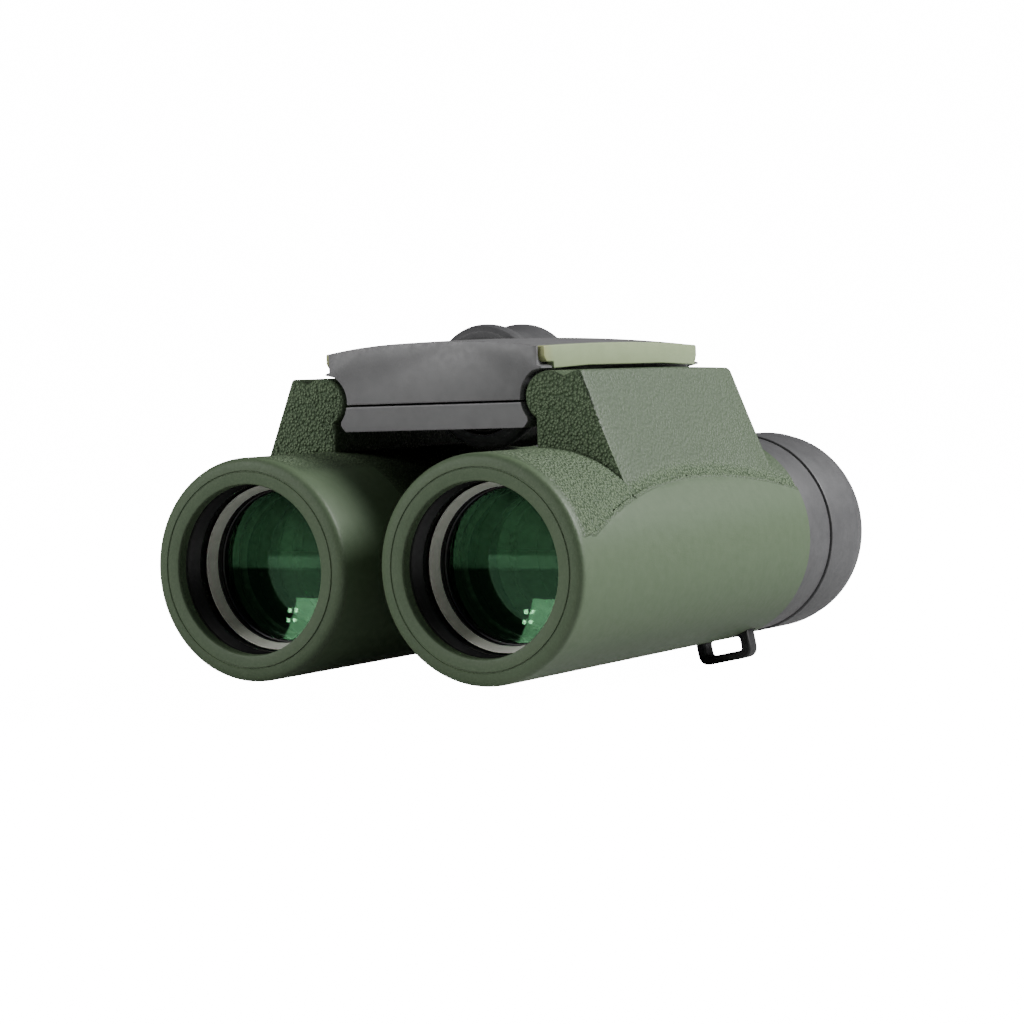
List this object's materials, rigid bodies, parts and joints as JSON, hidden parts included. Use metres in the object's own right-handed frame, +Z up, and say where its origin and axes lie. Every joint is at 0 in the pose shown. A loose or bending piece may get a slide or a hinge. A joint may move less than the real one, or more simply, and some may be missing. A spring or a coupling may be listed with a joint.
{
  "type": "compact binoculars",
  "caption": "Folding compact roof-prism binoculars: rubber-armoured barrels hinged to a bridge with a focus wheel, twist-up eyecups and a dioptre ring.",
  "frame": {"origin": "middle of the folded binoculars' footprint, on the plane that the two strap lugs touch", "axes": "+Y along the barrels from the objectives to the eyepieces, +Z up through the bridge, +X towards the user's left barrel"},
  "size_m": [0.0764, 0.107, 0.0588],
  "materials": {
    "green_rubber": "matt moulded rubber, pebbled on the upper faces",
    "grey_shell": "satin moulded shell",
    "pale_trim": "satin pale green strip",
    "black_plastic": "black moulded plastic",
    "dark_rubber": "satin dark grey rubber",
    "bare_aluminium": "turned, bright",
    "black_aluminium": "black anodised",
    "steel": "turned",
    "coated_glass": "green anti-reflection coating",
    "prism_glass": "polished optical glass"
  },
  "bodies": {
    "bridge": {"bridge_frame": "black_aluminium", "top_cover": "grey_shell", "bottom_cover": "grey_shell", "cover_screw_1": "steel", "cover_screw_2": "steel", "cover_screw_3": "steel", "cover_screw_4": "steel", "left_trim": "pale_trim", "right_trim": "pale_trim", "left_front_hinge_pin": "steel", "left_rear_hinge_pin": "steel", "right_front_hinge_pin": "steel", "right_rear_hinge_pin": "steel"},
    "focus_wheel": {"focus_wheel_hub": "black_plastic", "focus_wheel_grip": "dark_rubber", "focus_spindle": "steel"},
    "focus_carriage": {"focus_carriage": "black_aluminium"},
    "left_barrel": {"left_armour": "green_rubber", "left_chassis": "black_plastic", "left_strap_lug": "black_plastic", "left_objective_cell": "black_aluminium", "left_objective_retainer": "bare_aluminium", "left_objective_spacer": "black_aluminium", "left_objective_crown": "coated_glass", "left_objective_flint": "prism_glass", "left_half_prism": "prism_glass", "left_roof_prism": "prism_glass", "left_prism_cage": "black_aluminium", "left_eyecup_sleeve": "black_aluminium", "left_eyepiece_tube": "black_aluminium", "left_field_lens": "prism_glass", "left_eye_lens": "coated_glass", "left_eyepiece_ring": "dark_rubber"},
    "left_focus_unit": {"left_focus_cell": "black_aluminium", "left_focus_lens": "prism_glass", "left_focus_rod": "steel"},
    "left_eyecup_guide": {"left_eyecup_guide": "black_plastic"},
    "left_eyecup": {"left_eyecup": "dark_rubber"},
    "right_barrel": {"right_armour": "green_rubber", "right_chassis": "black_plastic", "right_strap_lug": "black_plastic", "right_objective_cell": "black_aluminium", "right_objective_retainer": "bare_aluminium", "right_objective_spacer": "black_aluminium", "right_objective_crown": "coated_glass", "right_objective_flint": "prism_glass", "right_half_prism": "prism_glass", "right_roof_prism": "prism_glass", "right_prism_cage": "black_aluminium", "right_eyecup_sleeve": "black_aluminium"},
    "right_focus_unit": {"right_focus_cell": "black_aluminium", "right_focus_lens": "prism_glass", "right_focus_rod": "steel"},
    "right_eyecup_guide": {"right_eyecup_guide": "black_plastic"},
    "right_eyecup": {"right_eyecup": "dark_rubber"},
    "right_eyepiece": {"right_eyepiece_tube": "black_aluminium", "right_field_lens": "prism_glass", "right_eye_lens": "coated_glass"},
    "dioptre_ring": {"dioptre_ring": "dark_rubber"}
  },
  "joints": [
    {"name": "left_hinge", "type": "hinge", "parent": "bridge", "child": "left_barrel", "pos_m": [0.0207, 0, 0.04685], "axis": [0, -1, 0], "range_deg": [-6, 40]},
    {"name": "right_hinge", "type": "hinge", "parent": "bridge", "child": "right_barrel", "pos_m": [-0.0207, 0, 0.04685], "axis": [0, 1, 0], "range_deg": [-6, 40]},
    {"name": "focus_wheel_turn", "type": "hinge", "parent": "bridge", "child": "focus_wheel", "pos_m": [0, -0.00745, 0.0486], "axis": [0, 1, 0], "range_deg": [-225, 225]},
    {"name": "focus_carriage_slide", "type": "slide", "parent": "bridge", "child": "focus_carriage", "axis": [0, 1, 0], "range_m": [-0.0025, 0.0025]},
    {"name": "left_focus_slide", "type": "slide", "parent": "left_barrel", "child": "left_focus_unit", "axis": [0, 1, 0], "range_m": [-0.00255, 0.00255]},
    {"name": "right_focus_slide", "type": "slide", "parent": "right_barrel", "child": "right_focus_unit", "axis": [0, 1, 0], "range_m": [-0.00255, 0.00255]},
    {"name": "dioptre_turn", "type": "hinge", "parent": "right_barrel", "child": "dioptre_ring", "pos_m": [-0.0207, 0.0329, 0.0215], "axis": [0, 1, 0], "range_deg": [-60, 60]},
    {"name": "right_eyepiece_slide", "type": "slide", "parent": "right_barrel", "child": "right_eyepiece", "axis": [0, 1, 0], "range_m": [-0.00149, 0.00149]},
    {"name": "left_eyecup_rise", "type": "slide", "parent": "left_barrel", "child": "left_eyecup_guide", "axis": [0, 1, 0], "range_m": [0, 0.006]},
    {"name": "left_eyecup_twist", "type": "hinge", "parent": "left_eyecup_guide", "child": "left_eyecup", "pos_m": [0.0207, 0.0456, 0.0215], "axis": [0, 1, 0], "range_deg": [0, 120]},
    {"name": "right_eyecup_rise", "type": "slide", "parent": "right_barrel", "child": "right_eyecup_guide", "axis": [0, 1, 0], "range_m": [0, 0.006]},
    {"name": "right_eyecup_twist", "type": "hinge", "parent": "right_eyecup_guide", "child": "right_eyecup", "pos_m": [-0.0207, 0.0456, 0.0215], "axis": [0, -1, 0], "range_deg": [0, 120]}
  ],
  "couplings": [
    {"joint": "focus_wheel_turn", "follows": "focus_carriage_slide", "rad_per_m": 1570.8},
    {"joint": "left_focus_slide", "follows": "focus_carriage_slide", "ratio": 1},
    {"joint": "right_focus_slide", "follows": "focus_carriage_slide", "ratio": 1},
    {"joint": "dioptre_turn", "follows": "right_eyepiece_slide", "rad_per_m": 699.3},
    {"joint": "left_eyecup_rise", "follows": "left_eyecup_twist", "m_per_rad": 0.00286},
    {"joint": "right_eyecup_rise", "follows": "right_eyecup_twist", "m_per_rad": 0.00286}
  ]
}
